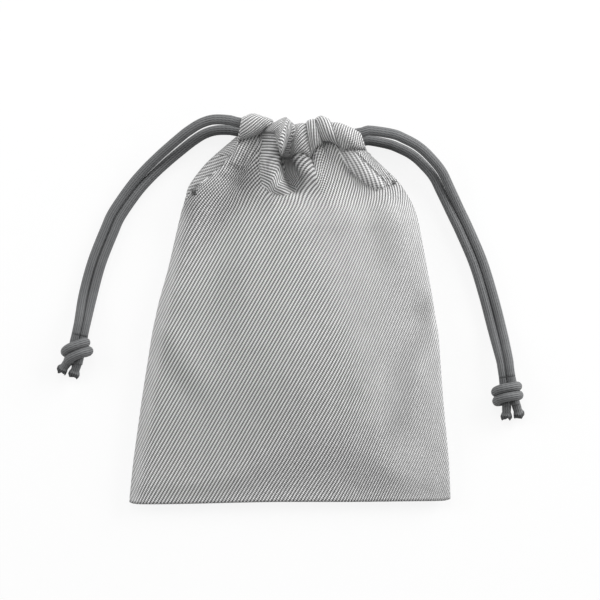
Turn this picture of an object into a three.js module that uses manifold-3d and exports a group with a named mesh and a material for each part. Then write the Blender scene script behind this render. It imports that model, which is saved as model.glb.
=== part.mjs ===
// A drawstring pouch lying on its back, mouth towards +Y, drawn nearly shut by two doubled cords.
// Millimetres, +Z up. The origin is under the middle of the cloth pouch, on the surface it lies on.
import * as THREE from "three";
import { mergeVertices } from "three/addons/utils/BufferGeometryUtils.js";
import Module from "manifold-3d";

const wasm = await Module();
wasm.setup();

// Cloth and cord stock
const FABRIC = 0.7; // twill thickness
const CORD = 4; // braided cord diameter
const CLEAR = 0.3; // gap kept between neighbouring pieces
const TUNNEL_EASE = 0.35; // room above and below a cord in its casing

// The pouch as it lies
const POUCH_LENGTH = 163; // bottom edge to the top of the gathered mouth
const BOTTOM_WIDTH = 134.4; // across the bottom seam
const SHOULDER_WIDTH = 95; // across the shoulders, where the gathers begin
const SHOULDER_DROP = 22; // from the casing stitch line down to the shoulders
const NECK_WIDTH = 52; // the casing, drawn up along the cords
const NECK_SHIFT = 4; // the mouth lies this far right of the bottom's middle
const BODY_HEIGHT = 12.5; // how high the slack front stands in the middle
const BODY_RISE = 46; // length over which the front climbs from the bottom seam
const SEAM_HEIGHT = 4.2; // height of the side and bottom seams above the table
const BACK_CURL = 8; // width of the back's turned-up edge
const MOUTH_GAP = 5; // between the front and back casings
const SLIT_LENGTH = 13.5; // side seams stay open this far below the casing
const SEAM_ALLOWANCE = 6; // width of cloth turned in along a seam

// Casings and their gathers
const CASING_HEIGHT = 13.1; // stitch line to folded top edge, before the puffs
const BACK_CASING_DROP = 2.6; // the back casing lies this much further from the mouth
const CORD_RISE = 1.2; // the cords lie this much above a casing's middle, drawn against its fold
const LOBES = 5; // puffs across the neck
const LOBE_DEPTH = 3; // how far a puff stands out of the front
const LOBE_RISE = 1.2; // how far a puff stands above the folded top edge
const FOLD_LENGTH = 48; // the pleats fade out over this length of front panel

// Cords
const LEAD = 26; // straight stretch of a strand held inside its casing
const EXIT = 3; // straight stretch just outside it
const CORD_DROP = 58; // length over which a strand comes down to the table
const KNOT_RISE = 18; // length over which it climbs into its knot
const KNOT_TILT = 0.22; // lean of a knot's wraps, in radians
const KNOT_FLATNESS = 0.86; // a knot's height against its width
const TAIL = 4.8; // cut end standing out of a knot
const TAIL_SPREAD = 0.16; // angle of a tail to its knot, in radians
const CORD_SIDES = 8;
const STRAND_STEPS = 18;

// Middle line of each doubled cord on the table, from its casing to its knot: [across, along]
// from the middle of the casing's stitch line.
const LEFT_ROUTE = [
  [-35.2, 10.2],
  [-40.4, 9.3],
  [-45.5, 6.2],
  [-50.5, 2.3],
  [-56.9, -3.4],
  [-63.6, -10.1],
  [-69.5, -16.8],
  [-76.5, -26.9],
  [-79.6, -33.6],
  [-84.9, -47],
  [-88.6, -60.5],
  [-90.8, -72.2],
  [-92, -77.9],
];
const RIGHT_ROUTE = [
  [38, 4.2],
  [43, 2.3],
  [48.1, -0.4],
  [52.6, -4.2],
  [57.7, -10.1],
  [61.1, -16.8],
  [65.9, -26.9],
  [69.1, -33.6],
  [74.8, -47],
  [79, -60.5],
  [82.5, -73.9],
  [85.7, -87.4],
  [86.9, -95.3],
];

// Sizes that follow from those above
const TOP_EDGE = POUCH_LENGTH - LOBE_RISE;
const FRONT_CASING_Y = TOP_EDGE - CASING_HEIGHT / 2;
const BACK_CASING_Y = FRONT_CASING_Y - BACK_CASING_DROP;
const STITCH_LINE = TOP_EDGE - CASING_HEIGHT;
const FRONT_TOP = STITCH_LINE - CLEAR - FABRIC / 2;
const BACK_TOP = FRONT_TOP - BACK_CASING_DROP;
const SLIT_FOOT = STITCH_LINE - SLIT_LENGTH;
const TUNNEL_HALF_Y = CASING_HEIGHT / 2 - FABRIC;
const TUNNEL_HALF_Z = CORD / 2 + TUNNEL_EASE;
const CASING_HALF_Z = TUNNEL_HALF_Z + FABRIC;
const BACK_CASING_Z = CASING_HALF_Z + CLEAR / 2;
const FRONT_CASING_Z = BACK_CASING_Z + 2 * CASING_HALF_Z + MOUTH_GAP;
const CASING_ENDS = [NECK_SHIFT - NECK_WIDTH / 2, NECK_SHIFT + NECK_WIDTH / 2];
const LANE = (CORD + CLEAR) / 2; // the left cord's lane is this far above the pair's middle, the right's below
const EDGE_GAP = (FABRIC + CLEAR) / 2; // a panel's edge stops this far from the seam's middle
const TOP_WIDTH = NECK_WIDTH + 7;
const KNOT_TURN = CORD * 1.06; // middle line of a knot's wraps
const KNOT_HALF = CORD * 1.45; // half a knot's length
const KNOT_Z = (KNOT_TURN + CORD / 2) * KNOT_FLATNESS;

const lerp = THREE.MathUtils.lerp;
const smoothstep = THREE.MathUtils.smoothstep;

const TWILL = new THREE.MeshStandardMaterial({ color: 0xa9a9a9, roughness: 0.6, metalness: 0 });
const BRAID = new THREE.MeshStandardMaterial({ color: 0x67686a, roughness: 0.75, metalness: 0 });
const MELTED = new THREE.MeshStandardMaterial({ color: 0x4a4b4c, roughness: 0.5, metalness: 0 });

// Solids

function solidOf(geometry) {
  const bare = new THREE.BufferGeometry();
  bare.setAttribute("position", geometry.getAttribute("position"));
  bare.setIndex(geometry.index);
  const merged = mergeVertices(bare, 1e-4);
  const vertProperties = new Float32Array(merged.getAttribute("position").array);
  const triVerts = new Uint32Array(merged.index.array);
  return new wasm.Manifold(new wasm.Mesh({ numProp: 3, vertProperties, triVerts }));
}

function geometryOf(solid) {
  const mesh = solid.getMesh();
  const geometry = new THREE.BufferGeometry();
  geometry.setAttribute("position", new THREE.BufferAttribute(mesh.vertProperties, 3));
  geometry.setIndex(new THREE.BufferAttribute(mesh.triVerts, 1));
  return geometry;
}

function geometryFrom(points, triangles) {
  const geometry = new THREE.BufferGeometry().setFromPoints(points);
  geometry.setIndex(triangles.flat());
  return geometry;
}

// A closed skin over rings of points, anticlockwise seen from the last ring, with flat ends.
function loft(rings) {
  const sides = rings[0].length;
  const points = rings.flat();
  const triangles = [];
  for (let r = 0; r + 1 < rings.length; r++) {
    for (let s = 0; s < sides; s++) {
      const a = r * sides + s;
      const b = r * sides + ((s + 1) % sides);
      triangles.push([a, b, b + sides], [a, b + sides, a + sides]);
    }
  }
  const last = (rings.length - 1) * sides;
  for (let s = 1; s + 1 < sides; s++) {
    triangles.push([0, s + 1, s], [last, last + s, last + s + 1]);
  }
  return geometryFrom(points, triangles);
}

// Cloth of one thickness on both sides of a grid of points, rows running to the left of columns.
function clothShell(grid) {
  const rows = grid.length;
  const columns = grid[0].length;
  const points = [];
  for (const side of [1, -1]) {
    for (let r = 0; r < rows; r++) {
      for (let c = 0; c < columns; c++) {
        const across = grid[r][Math.min(c + 1, columns - 1)].clone().sub(grid[r][Math.max(c - 1, 0)]);
        const along = grid[Math.min(r + 1, rows - 1)][c].clone().sub(grid[Math.max(r - 1, 0)][c]);
        const normal = across.cross(along).normalize();
        points.push(grid[r][c].clone().addScaledVector(normal, (side * FABRIC) / 2));
      }
    }
  }
  const under = rows * columns;
  const triangles = [];
  const quad = (a, b, c, d) => triangles.push([a, b, c], [a, c, d]);
  for (let r = 0; r + 1 < rows; r++) {
    for (let c = 0; c + 1 < columns; c++) {
      const a = r * columns + c;
      const d = a + columns;
      quad(a, a + 1, d + 1, d);
      quad(under + a, under + d, under + d + 1, under + a + 1);
    }
  }
  for (let c = 0; c + 1 < columns; c++) {
    const top = (rows - 1) * columns + c;
    quad(under + c, under + c + 1, c + 1, c);
    quad(top, top + 1, under + top + 1, under + top);
  }
  for (let r = 0; r + 1 < rows; r++) {
    const left = r * columns;
    const right = left + columns - 1;
    quad(left, left + columns, under + left + columns, under + left);
    quad(under + right, under + right + columns, right + columns, right);
  }
  return geometryFrom(points, triangles);
}

// A round tube along points that a smooth curve runs through.
function tube(points, steps, radius = CORD / 2) {
  const round = new THREE.Shape();
  for (let s = 0; s < CORD_SIDES; s++) {
    const angle = (2 * Math.PI * s) / CORD_SIDES;
    const place = [radius * Math.cos(angle), radius * Math.sin(angle)];
    if (s === 0) round.moveTo(...place);
    else round.lineTo(...place);
  }
  const extrudePath = new THREE.CatmullRomCurve3(points, false, "centripetal");
  return new THREE.ExtrudeGeometry(round, { steps, extrudePath });
}

// The pouch's outline

// Half the width against the distance from the bottom edge: a straight taper that rounds into the neck.
function sideEdge(top) {
  const shoulder = new THREE.Vector2(SHOULDER_WIDTH / 2, top - SHOULDER_DROP);
  const bottom = new THREE.Vector2(BOTTOM_WIDTH / 2, 0);
  const bow = new THREE.Vector2(lerp(BOTTOM_WIDTH, SHOULDER_WIDTH, 0.36) / 2, shoulder.y * 0.5);
  const turn = new THREE.Vector2(SHOULDER_WIDTH / 2 - SHOULDER_DROP * 0.18, top - SHOULDER_DROP * 0.45);
  const edge = new THREE.CurvePath();
  edge.add(new THREE.QuadraticBezierCurve(bottom, bow, shoulder));
  edge.add(new THREE.QuadraticBezierCurve(shoulder, turn, new THREE.Vector2(TOP_WIDTH / 2, top)));
  return edge;
}

// Points [half width, distance from the bottom] up the side, closer together at both ends.
function edgeRows(top, count) {
  const edge = sideEdge(top);
  const rows = [];
  for (let r = 0; r <= count; r++) {
    const share = r / count;
    rows.push(edge.getPoint(lerp(share, (1 - Math.cos(Math.PI * share)) / 2, 0.7)));
  }
  return rows;
}

// Shares of the half width from -1 to 1, closer together at the edges.
function columnShares(count) {
  return Array.from({ length: count + 1 }, (_, c) => {
    const even = (2 * c) / count - 1;
    return lerp(even, Math.sin((Math.PI / 2) * even), 0.6);
  });
}

const middleAt = (y) => (NECK_SHIFT * y) / STITCH_LINE;

// 1 on a puff's crest and -1 in the valley between two, fanning out below the neck
function gather(share) {
  return Math.cos((2 * Math.PI * LOBES * share * (TOP_WIDTH / 2)) / NECK_WIDTH);
}

function frontHeight(share, halfWidth, y) {
  const open = smoothstep(y, SLIT_FOOT, FRONT_TOP);
  const edge = lerp(SEAM_HEIGHT + EDGE_GAP, FRONT_CASING_Z - LOBE_DEPTH / 2, open);
  const crown = lerp(BODY_HEIGHT, FRONT_CASING_Z, smoothstep(y, FRONT_TOP - FOLD_LENGTH, FRONT_TOP));
  const climb = Math.sqrt(1 - (1 - Math.min(1, y / BODY_RISE)) ** 3);
  const bulge = Math.sqrt(1 - Math.abs(share) ** 3);
  const fold = LOBE_DEPTH * 0.75 * smoothstep(y, FRONT_TOP - FOLD_LENGTH, FRONT_TOP) ** 2;
  return edge + (crown - edge) * climb * bulge + fold * gather(share) * bulge;
}

function backHeight(share, halfWidth, y) {
  const inEdge = Math.max(0, 1 - (halfWidth * (1 - Math.abs(share))) / BACK_CURL);
  const inBottom = Math.max(0, 1 - y / BACK_CURL);
  const flat = Math.sqrt(1 - inEdge ** 2) * Math.sqrt(1 - inBottom ** 2);
  const lying = lerp(SEAM_HEIGHT - EDGE_GAP, FABRIC / 2, flat);
  return lerp(lying, BACK_CASING_Z, smoothstep(y, SLIT_FOOT, BACK_TOP));
}

function panel(top, height, columns, rows) {
  const shares = columnShares(columns);
  const grid = edgeRows(top, rows).map(({ x: halfWidth, y }) =>
    shares.map(
      (share) => new THREE.Vector3(middleAt(y) + share * halfWidth, y, height(share, halfWidth, y)),
    ),
  );
  return clothShell(grid);
}

// Casings

// A tube of cloth gathered on the cords: puffed above and at its folded top edge, with a straight tunnel.
function casing(y, z, depth, rise) {
  const sides = 14;
  const steps = LOBES * 8;
  const rings = [];
  for (let step = 0; step <= steps; step++) {
    const x = lerp(...CASING_ENDS, step / steps);
    const puff = (1 + Math.cos((2 * Math.PI * LOBES * (x - NECK_SHIFT)) / NECK_WIDTH)) / 2;
    const ring = [];
    for (let s = 0; s < sides; s++) {
      const angle = (2 * Math.PI * s) / sides;
      const up = Math.cos(angle);
      const out = Math.sin(angle);
      const halfY = CASING_HEIGHT / 2 + rise * puff * Math.max(0, up);
      const halfZ = CASING_HALF_Z + depth * puff * Math.max(0, out);
      ring.push(new THREE.Vector3(x, y + halfY * up, z + halfZ * out));
    }
    rings.push(ring);
  }
  return solidOf(loft(rings));
}

function tunnel(y, z) {
  const round = TUNNEL_HALF_Z;
  const straight = TUNNEL_HALF_Y - TUNNEL_HALF_Z;
  const section = new THREE.Shape();
  section.absarc(straight, 0, round, -Math.PI / 2, Math.PI / 2, false);
  section.absarc(-straight, 0, round, Math.PI / 2, (3 * Math.PI) / 2, false);
  const depth = NECK_WIDTH + 2 * CORD;
  const hole = new THREE.ExtrudeGeometry(section, { depth, bevelEnabled: false, curveSegments: 6 });
  hole.applyMatrix4(new THREE.Matrix4().makeBasis(
    new THREE.Vector3(0, 1, 0),
    new THREE.Vector3(0, 0, 1),
    new THREE.Vector3(1, 0, 0),
  ));
  hole.translate(CASING_ENDS[0] - CORD, y, z);
  return solidOf(hole);
}

// Where a cord leaves one tunnel and turns back into the other, at the end away from its knot.
function turnOf(side) {
  const y = [LANES.front(side).y, LANES.back(side).y];
  const radius = Math.hypot(y[1] - y[0], FRONT_CASING_Z - BACK_CASING_Z) / 2;
  const end = side < 0 ? CASING_ENDS[1] : CASING_ENDS[0];
  const x = end + side * (radius + CORD / 2 + CLEAR);
  return { y, radius, x, end };
}

// The casing's inner wall is notched at that end, so the turn lies inside the mouth.
function turnNotch(side, z, inward) {
  const { y, x, end } = turnOf(side);
  const long = Math.abs(end - x) + CORD;
  const wide = Math.abs(y[1] - y[0]) + CORD + 2 * CLEAR;
  const deep = TUNNEL_HALF_Z + CORD;
  const notch = new THREE.BoxGeometry(long, wide, deep);
  notch.translate(x - (side * long) / 2, (y[0] + y[1]) / 2, z + (inward * deep) / 2);
  return solidOf(notch);
}

function frontCasing() {
  return geometryOf(
    casing(FRONT_CASING_Y, FRONT_CASING_Z, LOBE_DEPTH, LOBE_RISE)
      .subtract(tunnel(FRONT_CASING_Y, FRONT_CASING_Z))
      .subtract(turnNotch(-1, FRONT_CASING_Z, -1))
      .subtract(turnNotch(1, FRONT_CASING_Z, -1)),
  );
}

function backCasing() {
  return geometryOf(
    casing(BACK_CASING_Y, BACK_CASING_Z, 0, 0)
      .subtract(tunnel(BACK_CASING_Y, BACK_CASING_Z))
      .subtract(turnNotch(-1, BACK_CASING_Z, 1))
      .subtract(turnNotch(1, BACK_CASING_Z, 1)),
  );
}

// Seam allowances, two layers of cloth turned in

const SEAM_INSET = FABRIC + 2 * CLEAR;

function strip(places) {
  return loft(
    places.map(({ from, to }) => [
      new THREE.Vector3(from.x, from.y, SEAM_HEIGHT - FABRIC),
      new THREE.Vector3(to.x, to.y, SEAM_HEIGHT - FABRIC),
      new THREE.Vector3(to.x, to.y, SEAM_HEIGHT + FABRIC),
      new THREE.Vector3(from.x, from.y, SEAM_HEIGHT + FABRIC),
    ]),
  );
}

function sideSeam(side) {
  const start = SEAM_INSET + SEAM_ALLOWANCE + CLEAR;
  const places = edgeRows(BACK_TOP, 24)
    .filter(({ y }) => y > start && y < SLIT_FOOT)
    .map(({ x: halfWidth, y }) => {
      const outer = middleAt(y) + side * (halfWidth - SEAM_INSET);
      const inner = outer - side * SEAM_ALLOWANCE;
      return { from: { x: Math.max(outer, inner), y }, to: { x: Math.min(outer, inner), y } };
    });
  return strip(places);
}

function bottomSeam() {
  const half = BOTTOM_WIDTH / 2 - SEAM_INSET - SEAM_ALLOWANCE;
  const ends = [-half, half];
  return strip(
    ends.map((x) => ({
      from: { x, y: SEAM_INSET },
      to: { x, y: SEAM_INSET + SEAM_ALLOWANCE },
    })),
  );
}

// Cords: side is -1 for the left cord and 1 for the right

const LANES = {
  front: (side) => ({ y: FRONT_CASING_Y + CORD_RISE - side * LANE, z: FRONT_CASING_Z }),
  back: (side) => ({ y: BACK_CASING_Y + CORD_RISE - side * LANE, z: BACK_CASING_Z }),
};

// The hidden stretch, from the end of one strand's lead round the far casing ends to the other's.
function cordLoop(side) {
  const near = side < 0 ? CASING_ENDS[0] : CASING_ENDS[1];
  const start = near - side * (LEAD + CLEAR);
  const { radius, x } = turnOf(side);
  const front = LANES.front(side);
  const back = LANES.back(side);
  const points = [start, (start + x) / 2, x].map((place) => new THREE.Vector3(place, front.y, front.z));
  for (const angle of [0.25, 0.5, 0.75]) {
    const share = (1 - Math.cos(Math.PI * angle)) / 2;
    const reach = x - side * radius * Math.sin(Math.PI * angle);
    points.push(new THREE.Vector3(reach, lerp(front.y, back.y, share), lerp(front.z, back.z, share)));
  }
  for (const place of [x, (start + x) / 2, start]) {
    points.push(new THREE.Vector3(place, back.y, back.z));
  }
  return tube(points, 22);
}

function routeOf(side) {
  const route = side < 0 ? LEFT_ROUTE : RIGHT_ROUTE;
  return route.map(([across, along]) => new THREE.Vector2(NECK_SHIFT + across, STITCH_LINE + along));
}

// One strand: straight through its casing, down to the table beside its twin, and up into the knot.
function strand(side, layer) {
  const { y, z } = LANES[layer](side);
  const end = side < 0 ? CASING_ENDS[0] : CASING_ENDS[1];
  const points = [LEAD, LEAD / 2, 0, -EXIT].map((inside) => new THREE.Vector3(end - side * inside, y, z));
  const route = routeOf(side);
  const outward = layer === "front" ? 1 : -1;
  const runs = [Math.abs(route[0].x - end) - EXIT];
  for (let r = 1; r < route.length; r++) {
    runs.push(runs[r - 1] + route[r].distanceTo(route[r - 1]));
  }
  route.forEach((place, r) => {
    const ahead = route[Math.min(r + 1, route.length - 1)];
    const along = ahead.clone().sub(route[Math.max(r - 1, 0)]).normalize();
    const apart = outward * LANE * -side;
    const lying = lerp(z, CORD / 2 + CLEAR, smoothstep(runs[r], 0, CORD_DROP));
    const climb = smoothstep(runs[r], runs.at(-1) - KNOT_RISE, runs.at(-1) - CORD);
    points.push(new THREE.Vector3(
      place.x + along.y * apart,
      place.y - along.x * apart,
      lerp(lying, KNOT_Z, climb),
    ));
  });
  const heading = new THREE.Vector3().setFromMatrixColumn(knotAxes(side), 2);
  points.splice(-1, 0, points.at(-1).clone().addScaledVector(heading, -CORD));
  return tube(points, STRAND_STEPS);
}

// A knot's own axes: across the pair of strands, up, and along the cord away from the pouch.
function knotAxes(side) {
  const [before, end] = routeOf(side).slice(-2);
  const heading = end.clone().sub(before).normalize();
  const along = new THREE.Vector3(heading.x, heading.y, 0);
  const up = new THREE.Vector3(0, 0, 1);
  const across = new THREE.Vector3().crossVectors(up, along);
  const middle = new THREE.Vector3(end.x, end.y, KNOT_Z).addScaledVector(along, KNOT_HALF + CLEAR);
  return new THREE.Matrix4().makeBasis(across, up, along).setPosition(middle);
}

// Two turns of cord wrapped tightly round the doubled cord.
function knot(side) {
  const wraps = [-1, 1].map((turn) => {
    const wrap = new THREE.TorusGeometry(KNOT_TURN, CORD / 2, CORD_SIDES, 20);
    wrap.scale(1, KNOT_FLATNESS, 1);
    wrap.rotateY(side * KNOT_TILT);
    wrap.translate(0, 0, turn * CORD * 0.46);
    return solidOf(wrap);
  });
  const cores = [-1, 1].map((strandSide) => {
    const core = new THREE.CylinderGeometry(CORD / 2, CORD / 2, 2 * KNOT_HALF, CORD_SIDES);
    core.rotateX(Math.PI / 2);
    core.translate(strandSide * LANE, 0, 0);
    return solidOf(core);
  });
  const filling = new THREE.CylinderGeometry(KNOT_TURN, KNOT_TURN, CORD * 0.92, 20);
  filling.rotateX(Math.PI / 2);
  filling.scale(1, KNOT_FLATNESS, 1);
  filling.rotateY(side * KNOT_TILT);
  const pieces = [...wraps, ...cores, solidOf(filling)];
  return geometryOf(wasm.Manifold.union(pieces)).applyMatrix4(knotAxes(side));
}

// A short cut end, melted a little wider at its tip.
function tail(side, layer) {
  const outward = layer === "front" ? 1 : -1;
  const lean = outward * side;
  const heading = new THREE.Vector3(
    lean * Math.sin(TAIL_SPREAD),
    -(KNOT_Z - CORD * 0.65) / TAIL,
    Math.cos(TAIL_SPREAD),
  );
  const profile = [
    [0, 0.5],
    [0.55, 0.48],
    [0.85, 0.58],
    [1, 0.5],
  ];
  const rings = profile.map(([share, size]) =>
    Array.from({ length: CORD_SIDES }, (_, s) => {
      const angle = (2 * Math.PI * s) / CORD_SIDES;
      const place = new THREE.Vector3(lean * LANE, 0, KNOT_HALF + CLEAR);
      place.addScaledVector(heading, share * TAIL);
      place.x += CORD * size * Math.cos(angle);
      place.y += CORD * size * Math.sin(angle);
      return place;
    }),
  );
  return loft(rings).applyMatrix4(knotAxes(side));
}

const group = new THREE.Group();
group.position.y = -POUCH_LENGTH / 2;

function add(name, geometry, material) {
  const mesh = new THREE.Mesh(geometry, material.clone());
  mesh.name = name;
  group.add(mesh);
}

add("front_panel", panel(FRONT_TOP, frontHeight, 40, 20), TWILL);
add("back_panel", panel(BACK_TOP, backHeight, 20, 16), TWILL);
add("front_casing", frontCasing(), TWILL);
add("back_casing", backCasing(), TWILL);
add("left_side_seam", sideSeam(-1), TWILL);
add("right_side_seam", sideSeam(1), TWILL);
add("bottom_seam", bottomSeam(), TWILL);
for (const [name, side] of [["left", -1], ["right", 1]]) {
  add(`${name}_cord_loop`, cordLoop(side), BRAID);
  add(`${name}_cord_front_strand`, strand(side, "front"), BRAID);
  add(`${name}_cord_back_strand`, strand(side, "back"), BRAID);
  add(`${name}_knot`, knot(side), BRAID);
  add(`${name}_front_tail`, tail(side, "front"), MELTED);
  add(`${name}_back_tail`, tail(side, "back"), MELTED);
}

export default group;
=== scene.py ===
"""A grey twill drawstring pouch lying on its back, its mouth drawn nearly shut by two doubled cords.

Sizes are in millimetres, in the frame of the solids: +X right, +Y towards the mouth, +Z up. A side is -1
for the left and 1 for the right. A layer is front or back.
"""

import math

import bpy
import numpy as np
from mathutils import Matrix, Vector


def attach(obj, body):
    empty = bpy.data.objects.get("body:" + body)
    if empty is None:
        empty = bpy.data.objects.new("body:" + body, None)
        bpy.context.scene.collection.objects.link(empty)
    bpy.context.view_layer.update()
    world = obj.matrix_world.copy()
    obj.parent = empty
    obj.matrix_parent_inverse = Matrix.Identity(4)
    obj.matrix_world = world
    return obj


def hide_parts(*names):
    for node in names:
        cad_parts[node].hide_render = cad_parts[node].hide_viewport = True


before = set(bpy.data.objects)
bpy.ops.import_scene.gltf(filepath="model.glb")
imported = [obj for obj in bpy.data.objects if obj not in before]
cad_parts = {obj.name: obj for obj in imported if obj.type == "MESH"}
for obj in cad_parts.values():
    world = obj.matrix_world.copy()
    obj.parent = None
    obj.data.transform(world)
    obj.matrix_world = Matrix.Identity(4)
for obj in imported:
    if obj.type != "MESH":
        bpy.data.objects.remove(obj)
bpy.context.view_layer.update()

MM = 0.001

# Cloth
FABRIC = 0.7
FLAT_HALF_WIDTH = 67.2
BOTTOM_EDGE = -81.5
STITCH_LINE = 67.2
SLIT_FOOT = 52.0
FOLD_LENGTH = 34.0
SEAM_HEIGHT = 4.2
HEM = 5.5
HEM_THICKNESS = 0.6
HEM_EDGE = 0.4

# Casings: y and height of each, and where both end at the left and the right
CASINGS = {"front": (74.95, 14.3), "back": (72.35, 3.2)}
CASING_ENDS = {-1: -22.0, 1: 30.0}
CASING_DEPTH = 2.65

# Cords: half the way between twin strands in the casing, where they leave it, on the table and in the knot
CORD = 4.0
LANE = 2.15
SHOWN_LANE = 1.95
EXIT_LANE = 1.05 * SHOWN_LANE
KNOT_LANE = 1.62
SPLIT = 0.3
LEAD = 22.2
LEAD_SAG = 1.6
EXIT = 3.0
EXIT_LIFT = {"front": (1.1, 1.9), "back": (0.4, 0.9)}
EXIT_FULLER = 0.06
EXIT_FULL_LENGTH = 10.0
CORD_DROP = 58.0
TABLE_GAP = 0.3
STRAND_LIFT = 0.3
KNOT_RISE = 18.0
KNOT_HALF = 5.8
KNOT_HEIGHT = 5.36
KNOT_PRESS = 0.08

# The middle of each doubled cord on the table, from its casing to its knot
ROUTES = {
    -1: [
        (-31.2, 77.3), (-36.4, 75.8), (-41.5, 72.7), (-46.5, 68.8), (-52.9, 63.4), (-59.6, 57.1),
        (-65.5, 50.4), (-72.5, 40.3), (-75.6, 33.6), (-80.9, 20.2), (-84.6, 6.7), (-86.8, -5.0),
        (-88.0, -10.7),
    ],
    1: [
        (42.0, 71.4), (47.0, 69.5), (52.1, 66.8), (56.6, 63.0), (61.7, 57.1), (65.1, 50.4),
        (69.9, 40.3), (73.1, 33.6), (78.8, 20.2), (83.0, 6.7), (86.5, -6.7), (89.7, -20.2),
        (90.9, -28.1),
    ],
}

# Lobes of the gathered front, from left to right: where each starts and ends on the flat cloth; its x
# there halfway down the folds; its x, y and height along the stitch line; its x, y and height where the
# casing folds over; where its crest lies between its ends; how its ribs run, in degrees, and how many
# times closer they are than on flat cloth.
FRONT_LOBES = np.array([
    (-57.0, -44.0, -26.5, -20.8, -21.6, -13.4, 71.8, 12.6, -19.8, -7.2, 81.8, 19.8, 0.35, 38, 1.25),
    (-31.0, -19.3, -12.6, -4.4, -12.2, -6.2, 73.8, 17.2, -7.0, -1.6, 80.2, 20.6, 0.97, 38, 1.9),
    (-18.3, -13.5, -3.8, -2.8, -5.0, -3.6, 64.6, 16.6, -1.2, 1.7, 79.4, 20.0, 0.1, -3, 1.0),
    (4.0, 14.0, 3.9, 9.6, -0.3, 6.6, 66.0, 13.8, 2.4, 6.4, 77.6, 18.4, 0.6, 45, 1.2),
    (18.5, 23.0, 12.2, 14.8, 7.9, 11.6, 68.4, 13.0, 7.0, 10.4, 79.3, 19.4, 0.5, 93, 1.35),
    (26.0, 37.0, 16.6, 23.6, 12.6, 19.6, 70.4, 13.0, 11.0, 16.0, 80.7, 20.2, 0.4, 110, 1.3),
    (43.8, 62.0, 26.8, 37.5, 20.9, 29.0, 67.6, 13.6, 16.5, 29.2, 77.6, 19.8, 0.35, 76, 1.25),
])

# The tucks before, between and after those lobes: place on the flat cloth, x halfway down the folds, then
# x, y and height along the stitch line and where the casing folds over, and how far down the tuck runs.
FRONT_TUCKS = np.array([
    (-67.2, -31.0, -21.4, 69.6, 10.5, -19.6, 77.5, 16.8, 24),
    (-36.0, -17.2, -12.9, 74.4, 10.5, -7.4, 77.2, 14.6, 30),
    (-18.8, -4.1, -5.7, 72.2, 18.4, -1.4, 80.0, 20.4, 10),
    (-4.2, 0.4, -1.6, 64.2, 6.0, 2.0, 76.5, 15.8, 20),
    (16.2, 10.9, 7.2, 62.6, 8.5, 6.7, 77.0, 15.8, 9),
    (24.5, 15.7, 12.1, 69.6, 11.8, 10.7, 78.8, 17.6, 7),
    (42.0, 25.2, 20.3, 66.2, 11.5, 16.2, 78.2, 18.0, 22),
    (67.2, 42.0, 29.6, 66.4, 8.5, 29.7, 71.5, 14.5, 20),
])

# The pouch's sides as it lies: y, then x at the left and at the right. Front and back part at the slits.
SEWN_SIDES = [
    (-81.5, -67.3, 67.2), (-63.8, -65.5, 66.4), (-37.0, -61.7, 63.8), (-10.1, -57.5, 61.7),
    (3.4, -54.6, 59.6), (16.8, -50.8, 57.1), (37.0, -46.2, 53.3), (43.7, -44.5, 51.2),
]
FRONT_SIDES = np.array(SEWN_SIDES + [
    (48.0, -42.6, 48.8), (52.5, -37.5, 46.0), (55.0, -34.2, 43.6), (58.0, -30.8, 40.4),
    (61.5, -27.0, 36.6), (65.0, -23.6, 32.8), (68.0, -21.4, 30.2),
])
BACK_SIDES = np.array(SEWN_SIDES + [
    (50.4, -42.9, 46.8), (53.8, -41.0, 44.4), (57.1, -38.4, 41.0), (60.5, -35.8, 37.4),
    (63.8, -32.4, 33.8), (68.0, -27.6, 30.0),
])
SIDE_COLUMNS = {-1: 1, 1: 2}
SIDE_SOFT = 2.5


# Small helpers

def smooth(low, high, value):
    """0 below low and 1 above high, with a smooth rise between."""
    share = np.clip((value - low) / (high - low), 0.0, 1.0)
    return share * share * (3.0 - 2.0 * share)


def mix(first, second, share):
    """What lies a share of the way from first to second."""
    return first + (second - first) * share


def share_of(values):
    """Values scaled to run from 0 to 1."""
    return (values - values.min()) / (values.max() - values.min())


def eased(value, places, heights, soft):
    """The broken line through places and heights, with its corners rounded over soft."""
    shifts = np.linspace(-soft, soft, 7)
    return sum(np.interp(value + shift, places, heights) for shift in shifts) / len(shifts)


def puffed(value, places, heights):
    """Round crests and sharp valleys through places and heights."""
    index = np.clip(np.searchsorted(places, value) - 1, 0, len(places) - 2)
    share = np.clip((value - places[index]) / (places[index + 1] - places[index]), 0.0, 1.0)
    start, end = heights[index], heights[index + 1]
    rising = np.sin(0.5 * math.pi * share)
    falling = 1.0 - np.sin(0.5 * math.pi * (1.0 - share))
    return mix(start, end, np.where(end > start, rising, falling))


def near_line(x, y, points):
    """Distance from a broken line, on which side of it (1 is its left), and the share along it."""
    best = np.full(np.shape(x), 1e9)
    side = np.ones(np.shape(x))
    along = np.zeros(np.shape(x))
    count = len(points) - 1
    for index in range(count):
        (ax, ay), (bx, by) = points[index], points[index + 1]
        dx, dy = bx - ax, by - ay
        share = np.clip(((x - ax) * dx + (y - ay) * dy) / (dx * dx + dy * dy), 0.0, 1.0)
        gap = np.hypot(x - ax - share * dx, y - ay - share * dy)
        closer = gap < best
        best = np.where(closer, gap, best)
        side = np.where(closer, np.sign(dx * (y - ay) - dy * (x - ax)), side)
        along = np.where(closer, (index + share) / count, along)
    return best, side, along


def lengths_along(path):
    """How far along a path each of its points lies."""
    return np.concatenate([[0], np.cumsum(np.linalg.norm(np.diff(path, axis=0), axis=1))])


def face_corners(grid, order):
    """What a grid holds at the corners of each face, in the given order of row and column."""
    height, width = grid.shape[:2]
    return np.stack([grid[r:height - 1 + r, c:width - 1 + c] for r, c in order], axis=2)


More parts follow.
